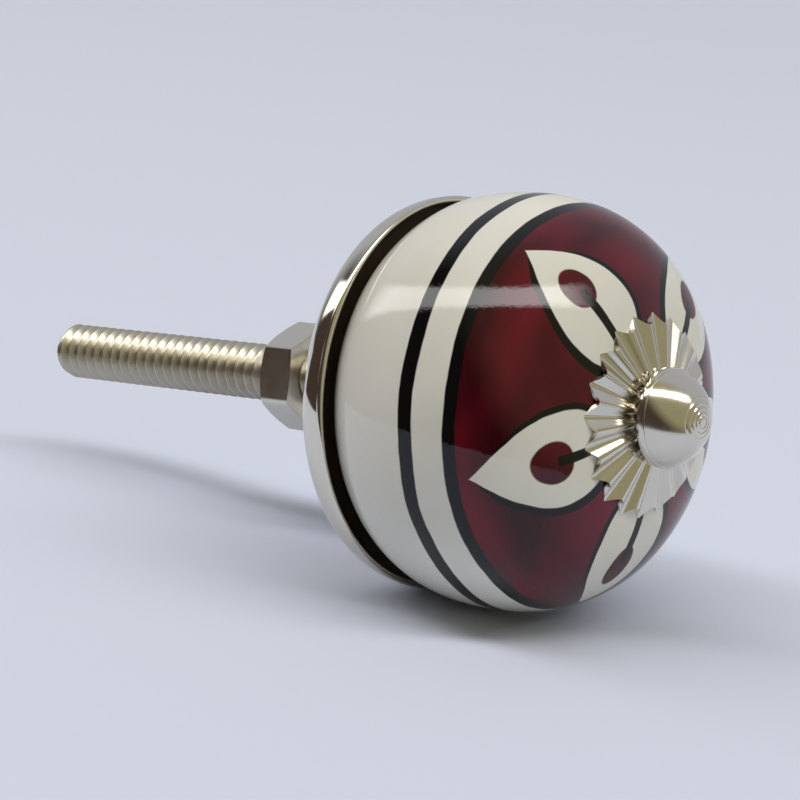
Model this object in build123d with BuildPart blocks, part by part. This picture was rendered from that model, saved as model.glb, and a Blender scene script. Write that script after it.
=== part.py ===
# Ceramic drawer knob: a glazed ball held between a fluted washer and a dished back plate
# on a dome-headed bolt, with the mounting nut run on to the shank.
# Origin at the centre of the back plate's seat, +Z up, +Y along the shank into the drawer front.
import os
from math import cos, hypot, pi, radians, sin, sqrt, tan

from build123d import *

# Bolt: 3/16 inch thread, shank length counted from the seat
shank_r = 2.38
shank_length = 40.25
shank_chamfer = 0.5
dome_r = 3.75
dome_height = 2.8
flange_step = 0.12
flange_height = 0.7
neck_undercut = 0.7
button_r = 1.45
button_height = 0.16
nub_r = 0.7
nub_height = 0.16

# Flower washer: pressed sheet with radial flutes, its rim scalloped to a point in each valley
flute_count = 20
flute_turn = 3.4
washer_r = 7.9
washer_sheet = 0.35
flute_height = 0.55
fold_rounding = 0.36
scallop = 0.8
hub_overlap = 0.15
valley_clearance = 0.03
neck_clearance = 0.15
flange_clearance = 0.05
washer_clearance = 0.2

# Ceramic ball: depths from its widest circle, slopes in degrees where it meets its flat lands
ball_r = 16.5
ball_front = 12.75
ball_rear = 10.55
base_land_r = 9.5
front_slope = 14.5
rear_slope = 25.0
seat_margin = 0.3
bore_clearance = 0.45
bore_chamfer = 0.4

# Shape of the ball's outline: how far each end of a curve runs straight on, as a share of its span
front_fullness = 0.74
front_crown = 0.31
rear_fullness = 0.57
rear_crown = 0.67

# Back plate: pressed dish, open towards the ball
plate_inset = 0.72
plate_sheet = 0.4
plate_corner = 3.0
lip_wall = 0.5
lip_rounding = 0.15
plate_clearance = 0.25

# Hex nut: 5/16 inch across flats, placed from the seat
nut_flats = 7.94
nut_height = 3.4
nut_place = 10.35
nut_chamfer_angle = 30.0
nut_turn = 22.0
thread_clearance = 0.05

# Radii from the bolt's head outwards: neck, flutes, washer's hub, the ball's land and its cone, the plate
neck_r = dome_r - neck_undercut
flange_r = dome_r + flange_step
flute_inner = neck_r + neck_clearance
hub_r = flute_inner + hub_overlap
front_land_r = hub_r
seat_r = washer_r + seat_margin
plate_r = ball_r - plate_inset

# Ridges and valleys run straight to one point on the axis
valley_slope = tan(radians(front_slope))
ridge_slope = valley_slope - flute_height / washer_r
meeting_height = valley_slope * hub_r + valley_clearance
neck_height = meeting_height - ridge_slope * flute_inner + flange_clearance

# Stack along the axis, from the seat to the front
base_y = -plate_sheet
equator_y = base_y - ball_rear
land_y = equator_y - ball_front
seat_y = land_y + valley_slope * (seat_r - front_land_r)
hub_y = land_y - washer_sheet
flange_y = hub_y - neck_height
dome_y = flange_y - flange_height

os.makedirs("parts", exist_ok=True)

# Ball outline: a flat land and a cone under the washer, a curve to the widest circle and one on to the base
with BuildPart() as ceramic_ball:
    front_run = front_crown * (ball_r - seat_r)
    rear_run = rear_crown * (ball_r - base_land_r)
    with BuildSketch(Plane.XY):
        with BuildLine():
            Polyline((0, land_y), (front_land_r, land_y), (seat_r, seat_y))
            Bezier(
                (seat_r, seat_y),
                (seat_r + front_run, seat_y + front_run * valley_slope),
                (ball_r, equator_y + front_fullness * (seat_y - equator_y)),
                (ball_r, equator_y),
            )
            Bezier(
                (ball_r, equator_y),
                (ball_r, equator_y + rear_fullness * ball_rear),
                (base_land_r + rear_run, base_y - rear_run * tan(radians(rear_slope))),
                (base_land_r, base_y),
            )
            Line((base_land_r, base_y), (0, base_y))
            Line((0, base_y), (0, land_y))
        make_face()
    revolve(axis=Axis.Y)
    # Bore for the shank, eased at both mouths
    bore_r = shank_r + bore_clearance
    with BuildSketch(Plane.XY):
        with BuildLine():
            Polyline(
                (0, land_y),
                (bore_r + bore_chamfer, land_y),
                (bore_r, land_y + bore_chamfer),
                (bore_r, base_y - bore_chamfer),
                (bore_r + bore_chamfer, base_y),
                (0, base_y),
                close=True,
            )
        make_face()
    revolve(axis=Axis.Y, mode=Mode.SUBTRACT)
ceramic_ball.part.label = "ceramic_ball"
export_step(ceramic_ball.part, "parts/ceramic_ball.step")

# Dish section: flat floor, round corner, straight wall and an eased lip
with BuildPart() as back_plate:
    floor_r = plate_r - plate_corner
    inner_corner = plate_corner - plate_sheet
    inner_r = plate_r - plate_sheet
    hole_r = shank_r + plate_clearance
    plate_depth = plate_corner + lip_wall
    with BuildSketch(Plane.XY):
        with BuildLine():
            Line((hole_r, 0), (floor_r, 0))
            JernArc((floor_r, 0), (1, 0), plate_corner, -90)
            Line((plate_r, -plate_corner), (plate_r, -plate_depth))
            Line((plate_r, -plate_depth), (inner_r, -plate_depth))
            Line((inner_r, -plate_depth), (inner_r, -plate_corner))
            JernArc((floor_r, -plate_sheet), (1, 0), inner_corner, -90)
            Line((floor_r, -plate_sheet), (hole_r, -plate_sheet))
            Line((hole_r, -plate_sheet), (hole_r, 0))
        make_face()
    revolve(axis=Axis.Y)
    fillet(back_plate.edges().group_by(Axis.Y)[0], lip_rounding)
back_plate.part.label = "back_plate"
export_step(back_plate.part, "parts/back_plate.step")

# One flute along local X, its height along local Z: a wavy strip between two like sections
with BuildPart() as flute:
    flute_angle = pi / flute_count
    flute_outer = washer_r + washer_sheet
    for distance in (flute_inner, flute_outer):
        half_width = distance * tan(flute_angle)
        reach = fold_rounding * half_width
        valley = meeting_height - valley_slope * hypot(distance, half_width)
        ridge = meeting_height - ridge_slope * distance
        with BuildSketch(Plane.YZ.offset(distance)):
            with BuildLine():
                for lift in (0, washer_sheet):
                    for side in (-1, 1):
                        Bezier(
                            (side * half_width, valley + lift),
                            (side * (half_width - reach), valley + lift),
                            (side * reach, ridge + lift),
                            (0, ridge + lift),
                        )
                for side in (-1, 1):
                    Line((side * half_width, valley), (side * half_width, valley + washer_sheet))
            make_face()
    loft(ruled=True)
    # Round cut that dips into the ridge and leaves a point in each valley
    dip_r = washer_r - scallop
    half_chord = washer_r * sin(flute_angle)
    cut_depth = washer_r * cos(flute_angle) - dip_r
    cut_r = (half_chord**2 + cut_depth**2) / (2 * cut_depth)
    with Locations((dip_r + cut_r, 0, 0)):
        Cylinder(cut_r, 2 * washer_r, mode=Mode.SUBTRACT)

# Flutes round a flat hub
with BuildPart(Plane(origin=(0, land_y, 0), x_dir=(1, 0, 0), z_dir=(0, -1, 0))) as flower_washer:
    with PolarLocations(0, flute_count, start_angle=flute_turn):
        add(flute.part)
    Cylinder(hub_r, washer_sheet, align=(Align.CENTER, Align.CENTER, Align.MIN))
    Hole(shank_r + washer_clearance)
flower_washer.part.label = "flower_washer"
export_step(flower_washer.part, "parts/flower_washer.step")

# Bolt outline from the nub at the front to the end of the shank
with BuildPart() as dome_bolt:
    cap_r = (dome_r**2 + dome_height**2) / (2 * dome_height)
    cap_y = dome_y - dome_height + cap_r
    button_edge_y = cap_y - sqrt(cap_r**2 - button_r**2)
    button_y = button_edge_y - button_height
    nub_y = button_y - nub_height
    mid_r = (button_r + dome_r) / 2
    with BuildSketch(Plane.XY):
        with BuildLine():
            Polyline(
                (0, nub_y),
                (nub_r, nub_y),
                (nub_r, button_y),
                (button_r, button_y),
                (button_r, button_edge_y),
            )
            ThreePointArc(
                (button_r, button_edge_y),
                (mid_r, cap_y - sqrt(cap_r**2 - mid_r**2)),
                (dome_r, dome_y),
            )
            Polyline(
                (dome_r, dome_y),
                (flange_r, dome_y),
                (flange_r, flange_y),
                (neck_r, flange_y),
                (neck_r, hub_y),
                (shank_r, hub_y),
                (shank_r, shank_length - shank_chamfer),
                (shank_r - shank_chamfer, shank_length),
                (0, shank_length),
                (0, nub_y),
            )
        make_face()
    revolve(axis=Axis.Y)
dome_bolt.part.label = "dome_bolt"
export_step(dome_bolt.part, "parts/dome_bolt.step")

# Hexagon with both ends chamfered by a cone, drilled for the shank
with BuildPart() as hex_nut:
    corner_r = nut_flats / 2 / cos(pi / 6)
    chamfer_height = (corner_r - nut_flats / 2) * tan(radians(nut_chamfer_angle))
    with BuildSketch(Plane.XZ.offset(-nut_place)):
        RegularPolygon(nut_flats / 2, 6, major_radius=False, rotation=nut_turn)
        Circle(shank_r + thread_clearance, mode=Mode.SUBTRACT)
    extrude(amount=-nut_height)
    with BuildSketch(Plane.XY):
        with BuildLine():
            Polyline(
                (0, nut_place),
                (nut_flats / 2, nut_place),
                (corner_r, nut_place + chamfer_height),
                (corner_r, nut_place + nut_height - chamfer_height),
                (nut_flats / 2, nut_place + nut_height),
                (0, nut_place + nut_height),
                close=True,
            )
        make_face()
    revolve(axis=Axis.Y, mode=Mode.INTERSECT)
hex_nut.part.label = "hex_nut"
export_step(hex_nut.part, "parts/hex_nut.step")
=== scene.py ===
from math import acos, atan2, cos, hypot, pi, radians, sin, sqrt, tan

import bmesh
import bpy
from mathutils import Matrix, Vector, geometry, noise


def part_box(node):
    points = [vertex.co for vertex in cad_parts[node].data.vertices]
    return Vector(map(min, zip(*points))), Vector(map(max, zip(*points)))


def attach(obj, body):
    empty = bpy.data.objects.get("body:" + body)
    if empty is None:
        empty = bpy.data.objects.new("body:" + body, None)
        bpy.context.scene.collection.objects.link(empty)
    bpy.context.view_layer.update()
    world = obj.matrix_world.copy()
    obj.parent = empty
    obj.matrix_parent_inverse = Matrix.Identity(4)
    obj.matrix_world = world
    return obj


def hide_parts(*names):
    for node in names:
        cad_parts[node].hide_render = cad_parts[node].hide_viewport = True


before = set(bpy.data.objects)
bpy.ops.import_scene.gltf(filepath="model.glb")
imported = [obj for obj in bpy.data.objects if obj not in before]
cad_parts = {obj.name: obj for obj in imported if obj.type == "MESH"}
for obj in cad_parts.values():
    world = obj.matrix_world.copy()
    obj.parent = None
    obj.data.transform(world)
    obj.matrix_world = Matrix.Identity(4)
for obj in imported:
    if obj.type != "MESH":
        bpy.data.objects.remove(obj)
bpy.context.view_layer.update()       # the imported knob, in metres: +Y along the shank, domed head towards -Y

scene = bpy.context.scene
mm = 0.001
axisY = Vector((0, 1, 0))
weld = 1e-7             # points nearer than this are one, in metres


def linearColor(hexText):       # sRGB hex to the linear values that nodes work in
    parts = [int(hexText[i:i + 2], 16) / 255 for i in (1, 3, 5)]
    return [p / 12.92 if p <= 0.04045 else ((p + 0.055) / 1.055) ** 2.4 for p in parts] + [1]


def addNode(tree, kind, inputs, **settings):    # a node or socket is linked, anything else is set
    node = tree.nodes.new("ShaderNode" + kind)
    for name, value in settings.items():
        setattr(node, name, value)
    for place, value in inputs.items():         # sockets by name or number; Mix has its colours at 6 and 7
        if isinstance(value, bpy.types.Node):
            value = value.outputs[0]
        if isinstance(value, bpy.types.NodeSocket):
            tree.links.new(value, node.inputs[place])
        else:
            node.inputs[place].default_value = value
    return node


def newMaterial(name):          # a material with an empty node tree
    material = bpy.data.materials.new(name)
    material.use_nodes = True
    material.node_tree.nodes.clear()
    return material, material.node_tree


def nodeSize(node):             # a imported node's radius and its ends along the axis, to 0.01 mm
    low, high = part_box(node)
    return {"radius": round(high.x / mm, 2), "front": round(low.y / mm, 2), "rear": round(high.y / mm, 2)}


def spinProfile(mesh, points, steps):           # (radius, y) points in mm, turned once round the axis
    verts = [mesh.verts.new((r * mm, y * mm, 0)) for r, y in points]
    edges = [mesh.edges.new(pair) for pair in zip(verts, verts[1:])]
    bmesh.ops.spin(mesh, geom=verts + edges, cent=(0, 0, 0), axis=axisY, angle=2 * pi,
                   steps=steps, use_merge=True)
    bmesh.ops.remove_doubles(mesh, verts=mesh.verts[:], dist=weld)
    bmesh.ops.dissolve_degenerate(mesh, edges=mesh.edges[:], dist=weld / 10)


def curvePoints(start, handleA, handleB, end, count):       # a cubic curve as (radius, y) points
    ends = [Vector((p[0], p[1], 0)) for p in (start, handleA, handleB, end)]
    return [(p.x, p.y) for p in geometry.interpolate_bezier(*ends, count)]


def finishPiece(mesh, name, node, materials, sharpAngle=30):
    bmesh.ops.recalc_face_normals(mesh, faces=mesh.faces[:])
    for face in mesh.faces:
        face.smooth = True
    for edge in mesh.edges:
        edge.smooth = len(edge.link_faces) == 2 and edge.calc_face_angle() < radians(sharpAngle)
    data = bpy.data.meshes.new(name)
    mesh.to_mesh(data)
    mesh.free()
    piece = bpy.data.objects.new(name, data)
    scene.collection.objects.link(piece)
    for material in materials:
        data.materials.append(material)
    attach(piece, "root")
    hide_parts(node)
    print("made", name, len(data.polygons), "faces")


# Camera: the photograph's place and a long lens, in mm
camera = {"place": (-179.5, -148.65, 32.1), "aim": (-6.27, -3.43, 0.12), "lens": 130.5, "sensor": 36}
cameraData = bpy.data.cameras.new("photoCamera")
cameraData.lens = camera["lens"]
cameraData.sensor_width = camera["sensor"]
cameraData.clip_start = 0.01
cameraData.clip_end = 200
photoCamera = bpy.data.objects.new("photoCamera", cameraData)
photoCamera.location = Vector(camera["place"]) * mm
lookAlong = Vector(camera["aim"]) - Vector(camera["place"])
photoCamera.rotation_euler = lookAlong.to_track_quat("-Z", "Y").to_euler()
scene.collection.objects.link(photoCamera)
scene.camera = photoCamera
print("camera set")

# Painted stoneware under clear glaze: flat brushed colour with a wet, glassy shine over it
paint = {
    "cream": "#edece4", "creamShade": "#e1ded1", "black": "#0a0a0c",
    # the dark maroon is both the brush's pooling and painted shade low on the ball
    "maroon": "#701022", "maroonPoolAndShade": "#32040d",
    "equator": -10.95,                          # y of the ball's widest circle, mm
    "rings": ((1.4, 0.6), (5.0, 0.48)),         # middle and half width, mm in front of the widest circle
    "petalStart": 32, "petalCount": 5,          # degrees from the top
    "spread": 18.3, "pole": 5,                  # distance from the front is an arc about a point behind it
    "leafMiddle": 10.6, "leafLong": 6.7, "leafWide": 3.75, "leafPoint": 1.25, "blunt": 0.07,
    "outline": 0.6, "outlineLean": 0.12,        # one side of the brush presses harder
    "outlineFades": (14.4, 16.4), "fadeLean": 0.9,
    "stem": 0.4, "stemTop": (-0.5, -0.3), "edge": 0.05, "dotEdge": 0.04,
    "petals": (                                 # dot's place, half length and half width in mm, and a lean
        (12.4, 1.65, 1.4, 0),
        (10.9, 1.8, 1.68, 0),
        (12.3, 1.9, 1.15, 0),
        (11.8, 1.6, 1.5, 2),
        (11.4, 1.7, 1.4, -2),
    ),
    "mostAt": 20, "mostSize": 4, "mostLean": 20,        # the petals' numbers as shares, for a colour ramp
    "hand": (7.0, 0.5), "bristle": (1.6, 0.12),         # size and amount of the line's wander, mm
    # stroke noise and its place: dark brushwork set low on the ball and red at the upper left, partly painted
    # shade
    "stroke": 9.0, "strokeWay": (1, 2.4, 1), "strokeAt": (3.1, 7.7, 1.3), "pools": (0.3, 0.7),
    "clay": 6.0, "ripple": 0.45, "rippleDeep": 0.006, "glazeRough": 0.04, "glazeIor": 1.46,
}


def makeGlaze():
    material, tree = newMaterial("paintedGlaze")
    place = addNode(tree, "TexCoord", {}).outputs["Object"]
    inMm = addNode(tree, "VectorMath", {0: place, "Scale": 1 / mm}, operation="SCALE")
    point = inMm
    for size, amount in (paint["hand"], paint["bristle"]):
        drift = addNode(tree, "TexNoise", {"Vector": inMm, "Scale": 1 / size, "Detail": 1}).outputs["Color"]
        shift = addNode(tree, "VectorMath", {0: drift, 1: (amount,) * 3, 2: (-amount / 2,) * 3},
                        operation="MULTIPLY_ADD")
        point = addNode(tree, "VectorMath", {0: point, 1: shift}, operation="ADD")
    xyz = addNode(tree, "SeparateXYZ", {0: point})
    along = addNode(tree, "Math", {0: xyz.outputs["Y"], 1: -1, 2: paint["equator"]},
                    operation="MULTIPLY_ADD")
    flat = addNode(tree, "VectorMath", {0: point, 1: (1, 0, 1)}, operation="MULTIPLY")
    radius = addNode(tree, "VectorMath", {0: flat}, operation="LENGTH").outputs["Value"]
    side = addNode(tree, "Math", {0: xyz.outputs["X"], 1: -1}, operation="MULTIPLY")
    angle = addNode(tree, "Math", {0: side, 1: xyz.outputs["Z"]}, operation="ARCTAN2")
    edge = paint["edge"]

    # rings and the field that the second one closes
    rings = []
    for middle, half in paint["rings"]:
        off = addNode(tree, "Math", {0: along, 1: middle}, operation="SUBTRACT")
        off = addNode(tree, "Math", {0: off}, operation="ABSOLUTE")
        rings.append(addNode(tree, "MapRange", {0: off, 1: half - edge, 2: half + edge, 3: 1, 4: 0}))
    fieldFrom = paint["rings"][1][0]
    field = addNode(tree, "MapRange", {0: along, 1: fieldFrom - edge, 2: fieldFrom + edge})

    # which petal, and its own numbers
    half = pi / paint["petalCount"]
    first = radians(paint["petalStart"])
    turn = addNode(tree, "Math", {0: angle, 1: first - half + 2 * pi, 2: first - half}, operation="WRAP")
    share = addNode(tree, "MapRange", {0: turn, 1: first - half, 2: first - half + 2 * pi})
    ramp = addNode(tree, "ValToRGB", {0: share})
    stops = ramp.color_ramp.elements
    ramp.color_ramp.interpolation = "CONSTANT"
    mostAt, mostSize, mostLean = paint["mostAt"], paint["mostSize"], paint["mostLean"]
    for k, (dotAt, dotLong, dotWide, lean) in enumerate(paint["petals"]):
        stop = stops[0] if k == 0 else stops.new(k / paint["petalCount"])
        stop.color = (dotAt / mostAt, dotLong / mostSize, dotWide / mostSize, 0.5 + lean / mostLean)
    stops.remove(stops[-1])                     # the ramp's own last stop
    petal = addNode(tree, "SeparateColor", {0: ramp})
    lean = addNode(tree, "Math", {0: ramp.outputs["Alpha"], 1: radians(mostLean), 2: -radians(mostLean / 2)},
                   operation="MULTIPLY_ADD")

    # how far out from the front, and how far across the petal
    local = addNode(tree, "Math", {0: angle, 1: first + half, 2: first - half}, operation="WRAP")
    local = addNode(tree, "Math", {0: local, 1: first}, operation="SUBTRACT")
    local = addNode(tree, "Math", {0: local, 1: lean}, operation="SUBTRACT")
    local = addNode(tree, "Math", {0: local}, operation="SINE")
    across = addNode(tree, "Math", {0: local, 1: radius}, operation="MULTIPLY")
    wide = addNode(tree, "Math", {0: across}, operation="ABSOLUTE")
    deep = addNode(tree, "Math", {0: along, 1: paint["pole"]}, operation="ADD")
    out = addNode(tree, "Math", {0: radius, 1: deep}, operation="ARCTAN2")
    out = addNode(tree, "Math", {0: out, 1: paint["spread"]}, operation="MULTIPLY")

    # leaf: how far outside its edge
    fromMiddle = addNode(tree, "Math", {0: out, 1: paint["leafMiddle"]}, operation="SUBTRACT")
    fromMiddle = addNode(tree, "Math", {0: fromMiddle, 1: paint["leafLong"]}, operation="DIVIDE")
    square = addNode(tree, "Math", {0: fromMiddle, 1: fromMiddle}, operation="MULTIPLY")
    bulge = addNode(tree, "Math", {0: 1, 1: square}, operation="SUBTRACT", use_clamp=True)
    bulge = addNode(tree, "Math", {0: bulge, 1: paint["leafPoint"]}, operation="POWER")
    halfWide = addNode(tree, "Math", {0: bulge, 1: paint["leafWide"]}, operation="MULTIPLY")
    halfWide = addNode(tree, "Math", {0: halfWide, 1: paint["blunt"]}, operation="SUBTRACT")
    away = addNode(tree, "Math", {0: wide, 1: halfWide}, operation="SUBTRACT")
    leaf = addNode(tree, "MapRange", {0: away, 1: -edge, 2: edge, 3: 1, 4: 0})

    # its outline, which dies out at the point, sooner on one side
    sideways = addNode(tree, "MapRange", {0: across, 1: -1, 2: 1, 3: -1, 4: 1})
    thick = addNode(tree, "Math", {0: sideways, 1: paint["outlineLean"], 2: paint["outline"]},
                    operation="MULTIPLY_ADD")
    fade = addNode(tree, "Math", {0: sideways, 1: -paint["fadeLean"], 2: out}, operation="MULTIPLY_ADD")
    fadeFrom, fadeTo = paint["outlineFades"]
    fade = addNode(tree, "MapRange", {0: fade, 1: fadeFrom, 2: fadeTo, 3: 1, 4: 0})
    thick = addNode(tree, "Math", {0: thick, 1: fade}, operation="MULTIPLY")
    beyond = addNode(tree, "Math", {0: away, 1: thick}, operation="SUBTRACT")
    outline = addNode(tree, "MapRange", {0: beyond, 1: -edge, 2: edge, 3: 1, 4: 0})

    # dot and stem inside the leaf
    dotAt = addNode(tree, "Math", {0: petal.outputs[0], 1: mostAt}, operation="MULTIPLY")
    dotOff = addNode(tree, "Math", {0: out, 1: dotAt}, operation="SUBTRACT")
    dotLong = addNode(tree, "Math", {0: petal.outputs[1], 1: mostSize}, operation="MULTIPLY")
    dotWide = addNode(tree, "Math", {0: petal.outputs[2], 1: mostSize}, operation="MULTIPLY")
    dotA = addNode(tree, "Math", {0: dotOff, 1: dotLong}, operation="DIVIDE")
    dotB = addNode(tree, "Math", {0: across, 1: dotWide}, operation="DIVIDE")
    dotPlace = addNode(tree, "CombineXYZ", {0: dotA, 1: dotB})
    dotReach = addNode(tree, "VectorMath", {0: dotPlace}, operation="LENGTH").outputs["Value"]
    dotEdge, stemHalf = paint["dotEdge"], paint["stem"]
    dot = addNode(tree, "MapRange", {0: dotReach, 1: 1 - dotEdge, 2: 1 + dotEdge, 3: 1, 4: 0})
    stemSide = addNode(tree, "MapRange", {0: wide, 1: stemHalf - edge, 2: stemHalf + edge, 3: 1, 4: 0})
    stemFrom, stemTo = paint["stemTop"]
    stemEnd = addNode(tree, "MapRange", {0: dotOff, 1: stemFrom, 2: stemTo, 3: 1, 4: 0})
    stem = addNode(tree, "Math", {0: stemSide, 1: stemEnd}, operation="MULTIPLY")

    # brushed colour: maroon pools dark and thins to red, its noise placed so the dark lies low on the ball and
    # the red high on the left, partly painted shade; the cream ground yellows in places
    stroke = addNode(tree, "VectorMath", {0: inMm, 1: paint["strokeWay"], 2: paint["strokeAt"]},
                     operation="MULTIPLY_ADD")
    poolAndShade = addNode(tree, "TexNoise", {"Vector": stroke, "Scale": 1 / paint["stroke"], "Detail": 1.5})
    poolAndShade = addNode(tree, "MapRange", {0: poolAndShade.outputs["Fac"], 1: paint["pools"][0], 2: paint["pools"][1]})
    clay = addNode(tree, "TexNoise", {"Vector": inMm, "Scale": 1 / paint["clay"], "Detail": 3})
    dark, red = linearColor(paint["maroonPoolAndShade"]), linearColor(paint["maroon"])
    pale, shade = linearColor(paint["cream"]), linearColor(paint["creamShade"])
    black = linearColor(paint["black"])
    maroon = addNode(tree, "Mix", {0: poolAndShade, 6: dark, 7: red}, data_type="RGBA").outputs[2]
    cream = addNode(tree, "Mix", {0: clay.outputs["Fac"], 6: pale, 7: shade}, data_type="RGBA").outputs[2]
    inLeaf = addNode(tree, "Mix", {0: dot, 6: cream, 7: maroon}, data_type="RGBA").outputs[2]
    inLeaf = addNode(tree, "Mix", {0: stem, 6: inLeaf, 7: black}, data_type="RGBA").outputs[2]
    color = addNode(tree, "Mix", {0: outline, 6: maroon, 7: black}, data_type="RGBA").outputs[2]
    color = addNode(tree, "Mix", {0: leaf, 6: color, 7: inLeaf}, data_type="RGBA").outputs[2]
    color = addNode(tree, "Mix", {0: field, 6: cream, 7: color}, data_type="RGBA").outputs[2]
    for ring in rings:
        color = addNode(tree, "Mix", {0: ring, 6: color, 7: black}, data_type="RGBA").outputs[2]

    # glaze: thick and glassy, faintly uneven over the brushwork
    ripple = addNode(tree, "TexNoise", {"Vector": inMm, "Scale": 1 / paint["ripple"], "Detail": 2})
    bump = addNode(tree, "Bump", {"Height": ripple.outputs["Fac"], "Strength": 1,
                                  "Distance": paint["rippleDeep"] * mm})
    shader = addNode(tree, "BsdfPrincipled", {"Base Color": color, "Normal": bump,
                                              "Roughness": paint["glazeRough"], "IOR": paint["glazeIor"]})
    addNode(tree, "OutputMaterial", {"Surface": shader})
    return material


# Nickel plating: a warm mirror, hazed by handling
nickel = {
    "brightNickel": ("#e2ddd1", 0.06),          # pressed smooth: a clear mirror
    "shadedInside": ("#94887a", 0.4),              # steel inside the dish, dull and dark: painted shade for the recess between the lip and the ball
    "pressedNickel": ("#e2ddd1", 0.14),         # folded into flutes: a mirror, slightly clouded
    "turnedNickel": ("#e2ddd1", 0.13),          # turned head: fine tool marks soften what it mirrors
    "rolledNickel": ("#c6bfaf", 0.3),           # rolled thread: satin, a little darker
    "dullNickel": ("#e2ddd1", 0.2),             # plain nut: a soft sheen
}
haze = {"size": 1.5, "more": 0.06, "fades": (0.35, 0.7)}        # clouds of finger marks, size in mm


def makeNickel(name):
    color, rough = nickel[name]
    material, tree = newMaterial(name)
    place = addNode(tree, "TexCoord", {}).outputs["Object"]
    cloud = addNode(tree, "TexNoise", {"Vector": place, "Scale": 1 / (haze["size"] * mm), "Detail": 3})
    blur = addNode(tree, "MapRange", {0: cloud.outputs["Fac"], 1: haze["fades"][0], 2: haze["fades"][1],
                                      3: rough, 4: rough + haze["more"]})
    shader = addNode(tree, "BsdfPrincipled", {"Base Color": linearColor(color), "Metallic": 1,
                                              "Roughness": blur})
    addNode(tree, "OutputMaterial", {"Surface": shader})
    return material


# Ceramic ball, in mm with y counted from the seat: a small flat land in front and a base behind
ball = {
    **nodeSize("ceramic_ball"), "equator": paint["equator"],
    "land": 3.35, "cone": 8.2, "base": 9.5, "bore": 2.83, "ease": 0.4,
    "frontSlope": tan(radians(14.5)), "rearSlope": tan(radians(25)),
    "frontFull": 0.74, "frontCrown": 0.31, "rearFull": 0.57, "rearCrown": 0.67,
    "steps": 192, "frontPoints": 60, "rearPoints": 48,
    "lump": 9.0, "lumpSize": 0.06,
}
landY, baseY = ball["front"], ball["rear"]


def makeBall(material):         # a cone under the washer, then curves over the widest circle to the base
    mesh = bmesh.new()
    radius, equator, bore, ease = ball["radius"], ball["equator"], ball["bore"], ball["ease"]
    coneY = landY + ball["frontSlope"] * (ball["cone"] - ball["land"])
    frontRun = ball["frontCrown"] * (radius - ball["cone"])
    rearRun = ball["rearCrown"] * (radius - ball["base"])
    widest = (radius, equator)
    points = [(bore, baseY - ease), (bore, landY + ease), (bore + ease, landY), (ball["land"], landY)]
    points += curvePoints(
        (ball["cone"], coneY),
        (ball["cone"] + frontRun, coneY + frontRun * ball["frontSlope"]),
        (radius, equator + ball["frontFull"] * (coneY - equator)),
        widest, ball["frontPoints"])
    points += curvePoints(
        widest,
        (radius, equator + ball["rearFull"] * (baseY - equator)),
        (ball["base"] + rearRun, baseY - rearRun * ball["rearSlope"]),
        (ball["base"], baseY), ball["rearPoints"])[1:]
    points += [(bore + ease, baseY), (bore, baseY - ease)]
    spinProfile(mesh, points, ball["steps"])
    for vert in mesh.verts:     # hand-turned: never quite round, true on its axis
        outward = Vector((vert.co.x, 0, vert.co.z))
        if outward.length > ball["base"] * mm:
            lump = noise.noise(vert.co / (ball["lump"] * mm)) * ball["lumpSize"] * mm
            vert.co += outward.normalized() * lump
    finishPiece(mesh, "ceramicBall", "ceramic_ball", [material])


# Back plate: pressed dish with a rolled lip, plated outside, and dull and dark inside as painted shade in the
# recess behind the ball
plate = {
    **nodeSize("back_plate"), "sheet": 0.4, "corner": 3.0, "bead": 0.26, "hole": 2.63,
    "steps": 192, "arc": 16, "skin": 0.9,       # share of the sheet that counts as its plated side
}


def makePlate(outer, inner):
    mesh = bmesh.new()
    outside, rimY, sheet = plate["radius"], plate["front"], plate["sheet"]
    corner, bead = plate["corner"], plate["bead"]
    quarter = [k / plate["arc"] * pi / 2 for k in range(plate["arc"] + 1)]
    meet = acos(sheet / 2 / bead)               # where the bead runs into the sheet, behind its middle
    around = [-meet + k / plate["arc"] * (pi + 2 * meet) for k in range(plate["arc"] + 1)]
    cornerR, innerCorner = outside - corner, corner - sheet
    points = [(plate["hole"], 0)]
    points += [(cornerR + corner * sin(a), -corner + corner * cos(a)) for a in quarter]
    points += [(outside - sheet / 2 + bead * cos(a), rimY + bead - bead * sin(a)) for a in around]
    points += [(cornerR + innerCorner * cos(a), -corner + innerCorner * sin(a)) for a in quarter]
    points += [(plate["hole"], -sheet), (plate["hole"], 0)]
    spinProfile(mesh, points, plate["steps"])
    # faces inside the dish take the dark finish, which paints the recess's shade
    for face in mesh.faces:
        middle = face.calc_center_median() / mm
        pastCorner = hypot(max(0, hypot(middle.x, middle.z) - cornerR), max(0, middle.y + corner))
        if pastCorner < corner - plate["skin"] * sheet and middle.y > rimY + 2 * bead:
            face.material_index = 1
    finishPiece(mesh, "backPlate", "back_plate", [outer, inner])


# Flower washer: thin sheet pressed into flutes that fan out from a flat hub to a scalloped rim
washer = {
    "sheet": 0.35, "hole": 2.58, "hub": 3.35, "hubEdge": 0.02, "inner": 3.2, "rim": 7.9, "lift": 0.03,
    "flutes": 20, "turn": 3.4, "fluteHeight": 0.55, "scallop": 0.8, "tipRound": 0.02,
    "rows": 26, "perFlute": 24, "sharp": 50,
}
hubY = landY - washer["sheet"]
meeting = ball["frontSlope"] * washer["hub"] + washer["lift"]       # height where ridge and valley meet
ridgeSlope = ball["frontSlope"] - washer["fluteHeight"] / washer["rim"]


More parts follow.
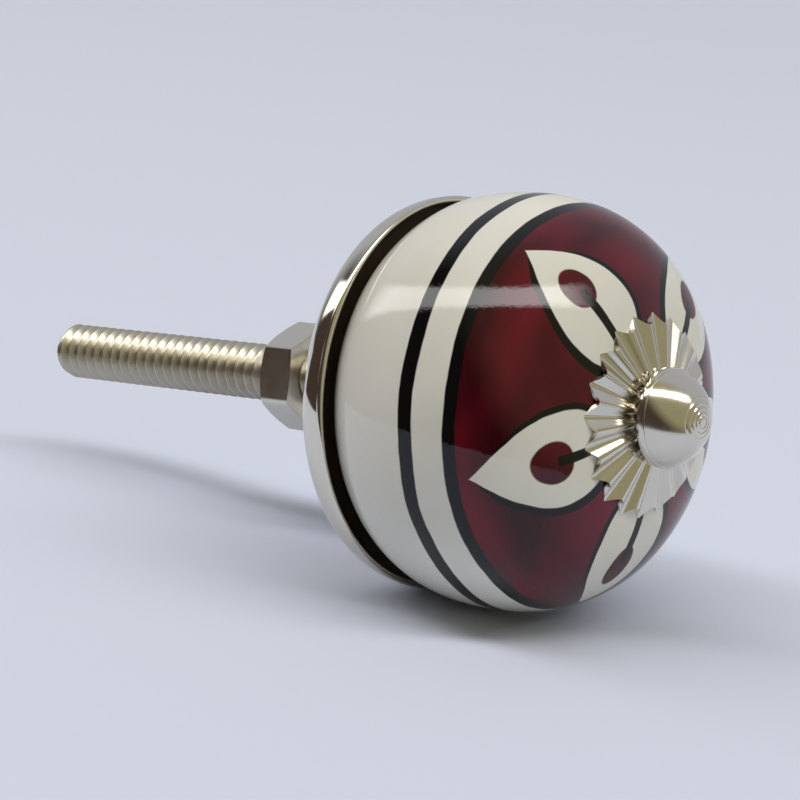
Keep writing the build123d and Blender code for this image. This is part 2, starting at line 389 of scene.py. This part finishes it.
def makeWasher(material):
    mesh = bmesh.new()
    span = washer["rim"] - washer["inner"]
    radii = [washer["hole"], washer["inner"] - washer["hubEdge"]]
    radii += [washer["inner"] + span * k / washer["rows"] for k in range(washer["rows"] + 1)]
    spinProfile(mesh, [(r, landY) for r in radii], washer["flutes"] * washer["perFlute"])
    tip = washer["tipRound"]
    for vert in mesh.verts:     # press the flutes, and draw the rim in at each ridge
        flatR = hypot(vert.co.x, vert.co.z) / mm
        if flatR < washer["inner"] - washer["hubEdge"] / 2:
            continue
        wave = (1 + cos(washer["flutes"] * atan2(vert.co.z, vert.co.x))) / 2
        drawn = (sqrt(wave + tip) - sqrt(tip)) / (sqrt(1 + tip) - sqrt(tip))
        r = flatR - washer["scallop"] * drawn * (flatR - washer["inner"]) / span
        height = meeting - ball["frontSlope"] * r + washer["fluteHeight"] * r / washer["rim"] * wave
        vert.co = (vert.co.x * r / flatR, vert.co.y - height * mm, vert.co.z * r / flatR)
    turned = Matrix.Rotation(-radians(washer["turn"]), 3, "Y")
    bmesh.ops.rotate(mesh, verts=mesh.verts[:], cent=(0, 0, 0), matrix=turned)
    bmesh.ops.recalc_face_normals(mesh, faces=mesh.faces[:])
    bmesh.ops.solidify(mesh, geom=mesh.faces[:], thickness=washer["sheet"] * mm)
    finishPiece(mesh, "flowerWasher", "flower_washer", [material], washer["sharp"])


# Dome bolt: turned head with fine rings at its tip, a neck, and a rolled thread
bolt = {
    **nodeSize("dome_bolt"),                    # its radius is the flange's
    "domeR": 3.75, "domeHeight": 2.8, "rings": (0.47, 0.86, 1.26, 1.72), "ringDeep": 0.05, "ringWide": 0.13,
    "flangeHigh": 0.7, "flangeLift": 0.05, "flangeStep": 0.06, "flangeEase": 0.1,
    "neckR": 3.05, "shankR": 2.38, "chamfer": 0.5, "coneLeast": 0.2,
    "pitch": 25.4 / 24, "deep": 0.62, "rootRound": 0.1, "crestRound": 0.07, "threadStart": -2.0,
    "arc": 160, "headSteps": 128, "turnSteps": 48, "weld": 2e-6, "sharp": 40,
}
flangeY = hubY - meeting + ridgeSlope * washer["inner"] - bolt["flangeLift"]
domeY = flangeY - bolt["flangeHigh"]


def makeBolt(head, thread):
    mesh = bmesh.new()
    capR = (bolt["domeR"] ** 2 + bolt["domeHeight"] ** 2) / (2 * bolt["domeHeight"])
    capY = domeY - bolt["domeHeight"] + capR
    points = []
    for k in range(bolt["arc"] + 1):
        r = bolt["domeR"] * k / bolt["arc"]
        groove = sum(max(0, 1 - abs(r - ring) / bolt["ringWide"]) ** 2 for ring in bolt["rings"])
        points.append((r, capY - sqrt(capR ** 2 - r ** 2) + groove * bolt["ringDeep"]))
    flangeR, ease, neckR, shankR = bolt["radius"], bolt["flangeEase"], bolt["neckR"], bolt["shankR"]
    root, threadStart = shankR - bolt["deep"], bolt["threadStart"]
    points += [(flangeR - bolt["flangeStep"], domeY), (flangeR, domeY + ease)]
    points += [(flangeR, flangeY - ease), (flangeR - ease, flangeY)]
    points += [(neckR, flangeY), (neckR, hubY), (shankR, hubY), (shankR, threadStart), (root, threadStart)]
    spinProfile(mesh, points, bolt["headSteps"])

    # one turn of the thread, its heights as shares of the pitch, repeated along the shank
    screw = bmesh.new()
    pitch, flankR, crestR = bolt["pitch"], root + bolt["rootRound"], shankR - bolt["crestRound"]
    tooth = [(root, 0), (root, 0.1), (flankR, 0.19), (crestR, 0.4), (shankR, 0.46),
             (shankR, 0.54), (crestR, 0.6), (flankR, 0.81), (root, 0.9), (root, 1)]
    verts = [screw.verts.new((r * mm, (threadStart + (y - 1) * pitch) * mm, 0)) for r, y in tooth]
    edges = [screw.edges.new(pair) for pair in zip(verts, verts[1:])]
    bmesh.ops.spin(screw, geom=verts + edges, cent=(0, 0, 0), axis=axisY, angle=2 * pi,
                   steps=bolt["turnSteps"], dvec=axisY * pitch / bolt["turnSteps"] * mm)
    oneTurn = screw.verts[:] + screw.edges[:] + screw.faces[:]
    for k in range(1, int((bolt["rear"] - threadStart) / pitch) + 2):
        copied = bmesh.ops.duplicate(screw, geom=oneTurn)["geom"]
        moved = [part for part in copied if isinstance(part, bmesh.types.BMVert)]
        bmesh.ops.translate(screw, verts=moved, vec=axisY * k * pitch * mm)
    bmesh.ops.remove_doubles(screw, verts=screw.verts[:], dist=bolt["weld"])
    for vert in screw.verts:    # the end is turned to a short cone
        pastCone = vert.co.y - (bolt["rear"] - bolt["chamfer"]) * mm
        shrink = min(1, (shankR * mm - max(0, pastCone)) / max(hypot(vert.co.x, vert.co.z), weld))
        vert.co.x *= max(shrink, bolt["coneLeast"])
        vert.co.z *= max(shrink, bolt["coneLeast"])
    for cutY, atEnd in ((bolt["rear"], True), (threadStart, False)):
        whole = screw.verts[:] + screw.edges[:] + screw.faces[:]
        cut = bmesh.ops.bisect_plane(screw, geom=whole, plane_co=(0, cutY * mm, 0), plane_no=axisY,
                                     clear_outer=atEnd, clear_inner=not atEnd)["geom_cut"]
        if atEnd:
            loop = [part for part in cut if isinstance(part, bmesh.types.BMEdge)]
            bmesh.ops.contextual_create(screw, geom=loop)
    for face in screw.faces:
        face.material_index = 1
    data = bpy.data.meshes.new("screwOnly")
    screw.to_mesh(data)
    screw.free()
    mesh.from_mesh(data)
    bpy.data.meshes.remove(data)
    finishPiece(mesh, "domeBolt", "dome_bolt", [head, thread], bolt["sharp"])


# Hex nut: six flats with softened corners, both faces turned to a cone, bored for the shank
nut = {
    **nodeSize("hex_nut"), "flats": 7.94, "turn": 52, "chamfers": (12, 30), "bore": 2.43,
    "ease": 0.3, "landInset": 0.15, "perSide": 24, "soft": 60, "sharp": 20,
}


def makeNut(material):
    mesh = bmesh.new()
    half, bore, ease, soft = nut["flats"] / 2, nut["bore"], nut["ease"], nut["soft"]
    front, rear = nut["front"], nut["rear"]
    corner, land = half / cos(pi / 6), half - nut["landInset"]
    points = [(bore, front + ease), (bore + ease, front), (land, front), (corner, front), (corner, rear),
              (land, rear), (bore + ease, rear), (bore, rear - ease), (bore, front + ease)]
    spinProfile(mesh, points, nut["perSide"] * 6)
    for vert in mesh.verts:     # press the round edge out of six flats, and lay its ends on the cones
        if hypot(vert.co.x, vert.co.z) < half * mm:
            continue
        angle = atan2(vert.co.z, vert.co.x) - radians(nut["turn"])
        facing = sum(max(0, cos(angle - k * pi / 3)) ** soft for k in range(6)) ** (1 / soft)
        reach = half / facing
        atFront = vert.co.y < (front + rear) / 2 * mm
        cone = (reach - land) * tan(radians(nut["chamfers"][0 if atFront else 1]))
        y = front + cone if atFront else rear - cone
        vert.co = (vert.co.x * reach / corner, y * mm, vert.co.z * reach / corner)
    finishPiece(mesh, "hexNut", "hex_nut", [material], nut["sharp"])


makeBall(makeGlaze())
makePlate(makeNickel("brightNickel"), makeNickel("shadedInside"))
makeWasher(makeNickel("pressedNickel"))
makeBolt(makeNickel("turnedNickel"), makeNickel("rolledNickel"))
makeNut(makeNickel("dullNickel"))

# Stage: a pale sheet tilted to meet the ball and the plate, left open on the side towards the camera
stage = {
    # the further colour is painted shade: the sheet darkens away from the knob
    "near": "#d6dbec", "far": "#cdd2e2", "fades": (60, 500), "away": (0.766, 0.643, 0), "rough": 0.3,
    "tilt": 8, "drop": 15.27, "disc": 80, "reach": 60000, "discSides": 128, "sweepSteps": 96,
    "openFrom": 95, "openTo": 290,              # degrees from +X
}
sheet = bmesh.new()
bmesh.ops.create_circle(sheet, cap_ends=True, radius=stage["disc"] * mm, segments=stage["discSides"])
ends = [Vector((r * mm, 0, 0)) for r in (stage["disc"], stage["reach"])]
start = Matrix.Rotation(radians(stage["openTo"]), 3, "Z")
side = sheet.edges.new([sheet.verts.new(start @ end) for end in ends])
bmesh.ops.spin(sheet, geom=[side] + side.verts[:], cent=(0, 0, 0), axis=(0, 0, 1), steps=stage["sweepSteps"],
               angle=radians(stage["openFrom"] + 360 - stage["openTo"]))
tilted = Matrix.Rotation(radians(stage["tilt"]), 3, "X")
bmesh.ops.rotate(sheet, verts=sheet.verts[:], cent=(0, 0, 0), matrix=tilted)
bmesh.ops.translate(sheet, verts=sheet.verts[:], vec=tilted @ Vector((0, 0, -stage["drop"] * mm)))
sheet.normal_update()
bmesh.ops.reverse_faces(sheet, faces=[face for face in sheet.faces if face.normal.z < 0])
sheetData = bpy.data.meshes.new("paleSheet")
sheet.to_mesh(sheetData)
sheet.free()
paleSheet = bpy.data.objects.new("paleSheet", sheetData)
scene.collection.objects.link(paleSheet)
sheetMaterial, tree = newMaterial("palePaper")      # matt paper: no shine, a little darker further off as painted shade
place = addNode(tree, "TexCoord", {}).outputs["Object"]
away = addNode(tree, "VectorMath", {0: place, 1: stage["away"]}, operation="DOT_PRODUCT").outputs["Value"]
away = addNode(tree, "MapRange", {0: away, 1: stage["fades"][0] * mm, 2: stage["fades"][1] * mm})
near, far = linearColor(stage["near"]), linearColor(stage["far"])
color = addNode(tree, "Mix", {0: away, 6: near, 7: far}, data_type="RGBA").outputs[2]
paper = addNode(tree, "BsdfDiffuse", {"Color": color, "Roughness": stage["rough"]})
under = addNode(tree, "NewGeometry", {}).outputs["Backfacing"]      # a low view looks through from below
clear = addNode(tree, "BsdfTransparent", {})
oneSided = addNode(tree, "MixShader", {0: under, 1: paper, 2: clear})
addNode(tree, "OutputMaterial", {"Surface": oneSided})
sheetData.materials.append(sheetMaterial)

# Light: a dim warm room, a pale wall behind and above, and a band of daylight high on the camera's side
light = {
    "front": "#9c9779", "back": "#453a33", "frontWay": (0.3, -0.8, 0.8), "frontFades": (0.2, 0.6),
    "wall": "#b3b6bd", "wallWay": (0.85, 0.25, 0.46), "wallFades": (0.35, 0.65),
    "band": "#ffffff", "bandStrength": 6.7, "bandAxis": (0.494, 0.204, 0.845),
    "bandFrom": 0.43, "bandTo": 0.6, "bandSoft": 0.02, "upFades": (0.1, 0.3),
    "endWay": (1, 0.25, 0), "endFades": (0.0, 0.3), "backFades": (-0.5, 0.6), "backShare": 0.6,
}
world = bpy.data.worlds.new("daylitRoom")
scene.world = world
world.use_nodes = True
tree = world.node_tree
tree.nodes.clear()
direction = addNode(tree, "TexCoord", {}).outputs["Generated"]
xyz = addNode(tree, "SeparateXYZ", {0: direction})
facing = {}
for name in ("frontWay", "wallWay", "bandAxis", "endWay"):      # how far a direction looks that way
    dotted = addNode(tree, "VectorMath", {0: direction, 1: light[name]}, operation="DOT_PRODUCT")
    facing[name] = dotted.outputs["Value"]

# the room, and the wall in it
room = linearColor(light["back"])
for name in ("front", "wall"):
    fadeFrom, fadeTo = light[name + "Fades"]
    share = addNode(tree, "MapRange", {0: facing[name + "Way"], 1: fadeFrom, 2: fadeTo})
    over = linearColor(light[name])
    room = addNode(tree, "Mix", {0: share, 6: room, 7: over}, data_type="RGBA").outputs[2]

# the band: between two heights about its axis, above the floor, ending on the right and weaker at the back
soft, bandFrom, bandTo = light["bandSoft"], light["bandFrom"], light["bandTo"]
fadeRows = (
    (facing["bandAxis"], (bandFrom - soft, bandFrom + soft), (0, 1)),
    (facing["bandAxis"], (bandTo - soft, bandTo + soft), (1, 0)),
    (xyz.outputs["Z"], light["upFades"], (0, light["bandStrength"])),
    (facing["endWay"], light["endFades"], (1, 0)),
    (xyz.outputs["Y"], light["backFades"], (1, light["backShare"])),
)
strength = None
for value, (fadeFrom, fadeTo), (low, high) in fadeRows:
    fade = addNode(tree, "MapRange", {0: value, 1: fadeFrom, 2: fadeTo, 3: low, 4: high})
    if strength is None:
        strength = fade
    else:
        strength = addNode(tree, "Math", {0: strength, 1: fade}, operation="MULTIPLY")
dim = addNode(tree, "Background", {"Color": room, "Strength": 1})
bright = addNode(tree, "Background", {"Color": linearColor(light["band"]), "Strength": strength})
both = addNode(tree, "AddShader", {0: dim, 1: bright})
addNode(tree, "OutputWorld", {"Surface": both})
scene.view_settings.view_transform = "Standard"
print("stage and light set")
